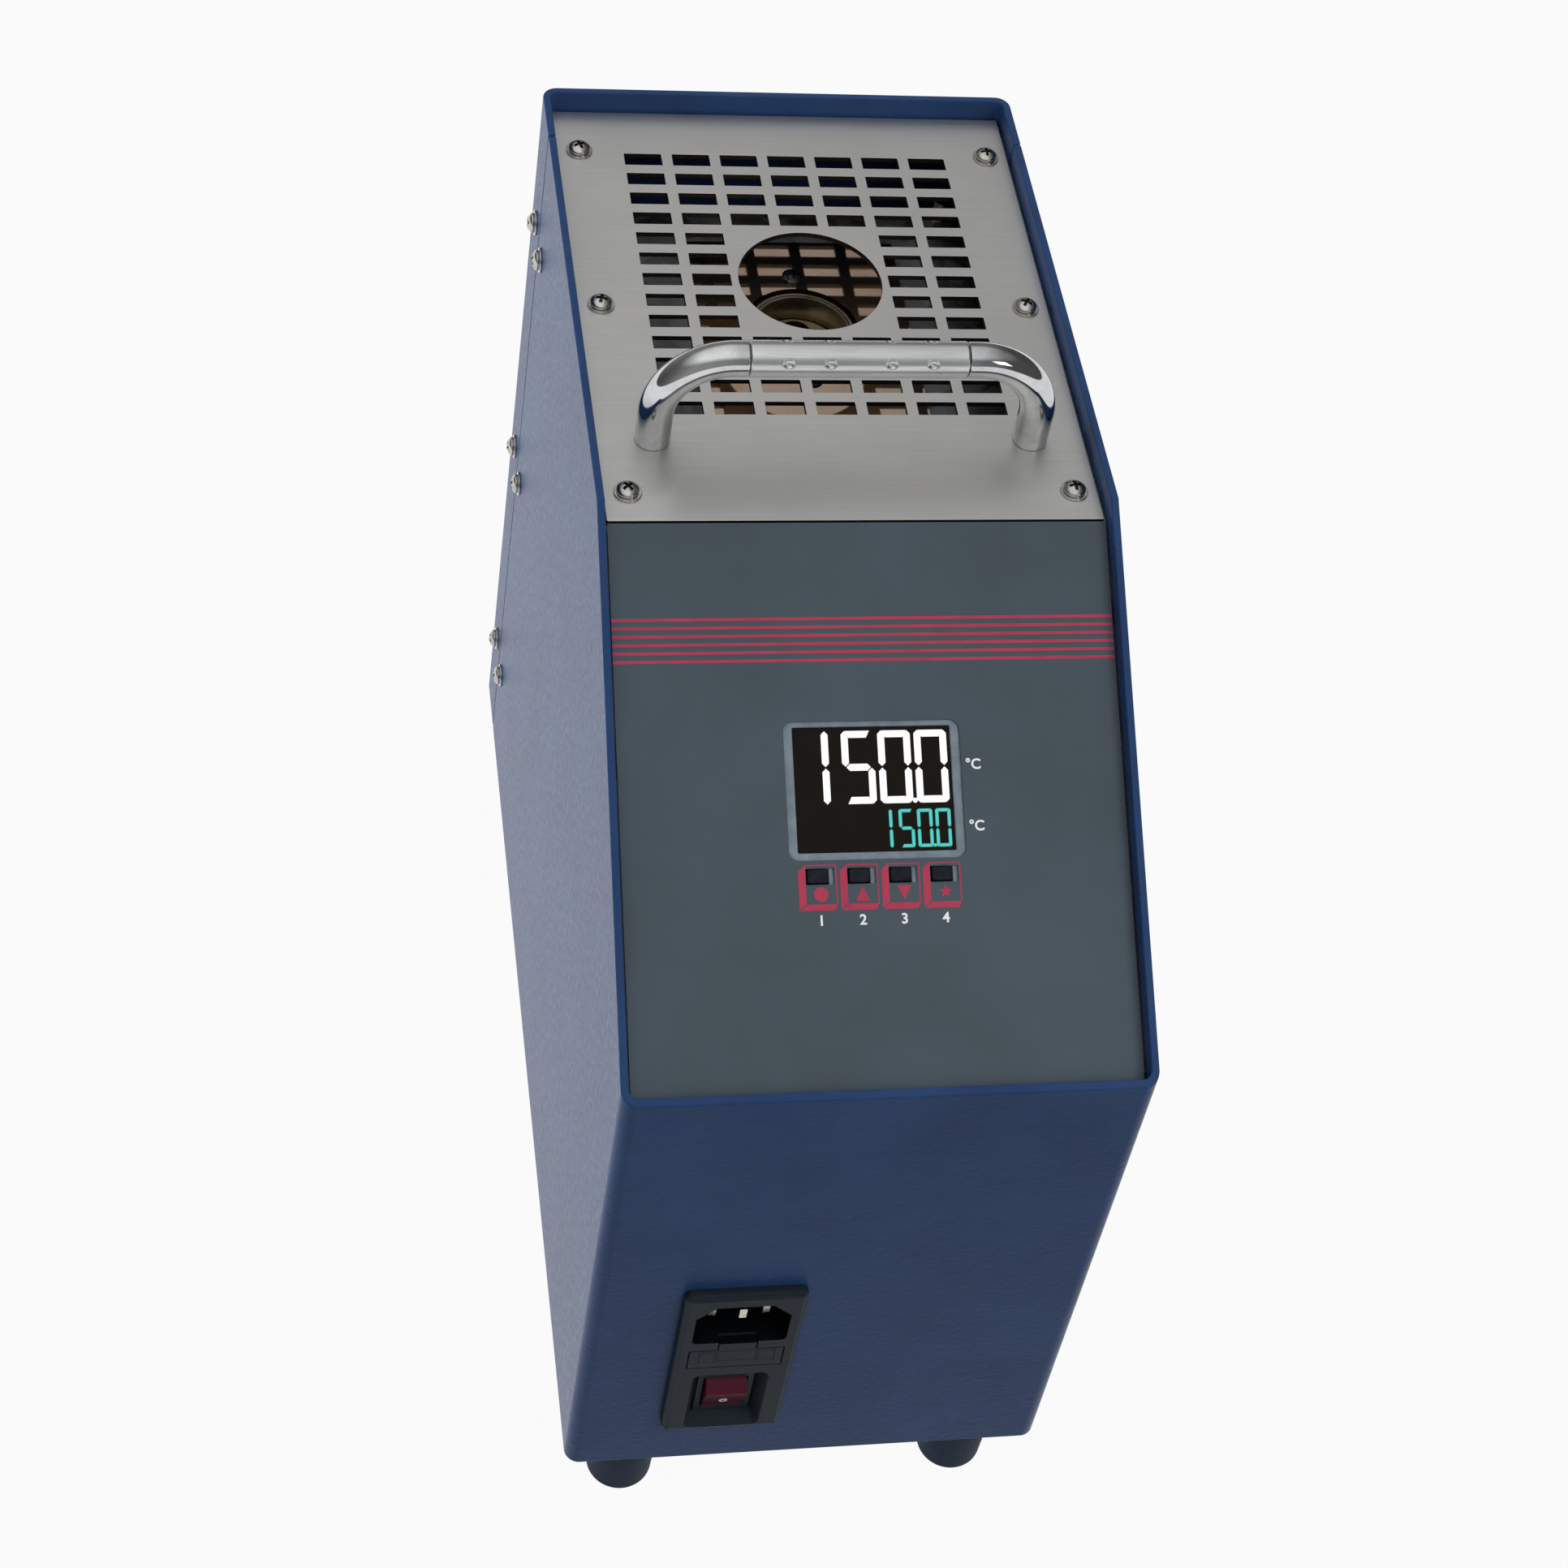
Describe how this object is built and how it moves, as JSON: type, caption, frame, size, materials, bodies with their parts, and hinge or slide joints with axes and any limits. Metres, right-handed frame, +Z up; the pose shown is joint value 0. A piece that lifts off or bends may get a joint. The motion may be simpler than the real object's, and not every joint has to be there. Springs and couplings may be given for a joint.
{
  "type": "dry-block temperature calibrator",
  "caption": "Upright benchtop dry-block calibrator with a sloped control panel, slotted steel top over a heated well, carrying handle and front mains inlet.",
  "frame": {"origin": "on the ground under the middle of the object's box", "axes": "+Z up along the well, the control panel and mains inlet face -Y, +X to the right seen from the front"},
  "size_m": [0.1352, 0.286, 0.2916],
  "materials": {
    "blue_paint": "textured powder coat",
    "zinc_sheet": "zinc-plated sheet",
    "stainless": "brushed stainless",
    "nickel_screw": "nickel-plated",
    "handle_chrome": "polished chrome plate",
    "grip_satin": "satin anodised",
    "foot_rubber": "matt moulded rubber",
    "key_rubber": "matt silicone rubber",
    "panel_aluminium": "mill finish",
    "panel_film": "matt printed polyester film",
    "controller_plastic": "moulded",
    "bezel_plastic": "moulded",
    "screen_glass": "gloss",
    "circuit_board": "solder mask",
    "inlet_plastic": "moulded",
    "pin_metal": "nickel-plated brass",
    "fuse_glass": "clear tube with metal caps",
    "rocker_red": "translucent moulded",
    "fan_plastic": "moulded",
    "guard_wire": "nickel-plated wire",
    "fibre_insulation": "ceramic fibre",
    "shield_steel": "polished stainless sheet, tinted by heat",
    "black_screw": "heat-blackened steel",
    "well_alloy": "oxidised nickel alloy",
    "heater_ceramic": "sintered",
    "insert_alloy": "heat-tinted turned metal",
    "sensor_sheath": "drawn tube",
    "relay_plastic": "moulded",
    "terminal_plastic": "moulded",
    "lead_insulation": "silicone sleeve"
  },
  "bodies": {
    "case": {"front_shell": "blue_paint", "rear_cover": "blue_paint", "base_plate": "zinc_sheet", "left_joint_strip": "zinc_sheet", "right_joint_strip": "zinc_sheet", "left_support_rail": "zinc_sheet", "right_support_rail": "zinc_sheet", "furnace_base_plate": "zinc_sheet", "furnace_top_plate": "zinc_sheet", "furnace_can": "zinc_sheet", "top_grille": "stainless", "case_screws": "nickel_screw", "case_washers": "nickel_screw", "fan_screws": "nickel_screw", "foot_screws": "nickel_screw", "foot_nuts": "nickel_screw", "handle_screws": "nickel_screw", "panel_screws": "nickel_screw", "relay_screws": "nickel_screw", "tie_rods": "nickel_screw", "tie_nuts": "nickel_screw", "handle_elbow_left": "handle_chrome", "handle_elbow_right": "handle_chrome", "handle_grip": "grip_satin", "foot_front_left": "foot_rubber", "foot_front_right": "foot_rubber", "foot_rear_left": "foot_rubber", "foot_rear_right": "foot_rubber", "panel_plate": "panel_aluminium", "panel_overlay": "panel_film", "controller_housing": "controller_plastic", "controller_clamp": "controller_plastic", "controller_bezel": "bezel_plastic", "display_window": "screen_glass", "controller_board": "circuit_board", "inlet_housing": "inlet_plastic", "switch_frame": "inlet_plastic", "inlet_pins": "pin_metal", "fan_frame": "fan_plastic", "fan_guard": "guard_wire", "furnace_insulation": "fibre_insulation", "heat_shield": "shield_steel", "shield_screws": "black_screw", "well_tube": "well_alloy", "heater_rods": "heater_ceramic", "control_thermocouple": "sensor_sheath", "solid_state_relay": "relay_plastic", "terminal_block": "terminal_plastic", "power_leads": "lead_insulation", "sensor_lead": "lead_insulation"},
    "switch_rocker": {"power_rocker": "rocker_red"},
    "fuse_tray": {"fuse_drawer": "inlet_plastic", "fuse_link": "fuse_glass"},
    "disc_key": {"key_disc": "key_rubber"},
    "up_key": {"key_up": "key_rubber"},
    "down_key": {"key_down": "key_rubber"},
    "star_key": {"key_star": "key_rubber"},
    "fan_blades": {"fan_rotor": "fan_plastic"},
    "insert": {"metal_insert": "insert_alloy"}
  },
  "joints": [
    {"name": "switch_tip", "type": "hinge", "parent": "case", "child": "switch_rocker", "pos_m": [-0.0256, -0.1363, 0.0593], "axis": [-1, 0, 0], "range_deg": [0, 33]},
    {"name": "fuse_pull", "type": "slide", "parent": "case", "child": "fuse_tray", "axis": [0, -1, 0], "range_m": [0, 0.028]},
    {"name": "disc_key_press", "type": "slide", "parent": "case", "child": "disc_key", "axis": [0, 0.5013, -0.8653], "range_m": [0, 0.001], "stiffness_N_per_m": 600},
    {"name": "up_key_press", "type": "slide", "parent": "case", "child": "up_key", "axis": [0, 0.5013, -0.8653], "range_m": [0, 0.001], "stiffness_N_per_m": 600},
    {"name": "down_key_press", "type": "slide", "parent": "case", "child": "down_key", "axis": [0, 0.5013, -0.8653], "range_m": [0, 0.001], "stiffness_N_per_m": 600},
    {"name": "star_key_press", "type": "slide", "parent": "case", "child": "star_key", "axis": [0, 0.5013, -0.8653], "range_m": [0, 0.001], "stiffness_N_per_m": 600},
    {"name": "fan_spin", "type": "hinge", "parent": "case", "child": "fan_blades", "pos_m": [0, 0.0723, 0.04], "axis": [0, 0, 1], "continuous": true},
    {"name": "insert_lift", "type": "slide", "parent": "case", "child": "insert", "axis": [0, 0, 1], "range_m": [0, 0.2]}
  ]
}
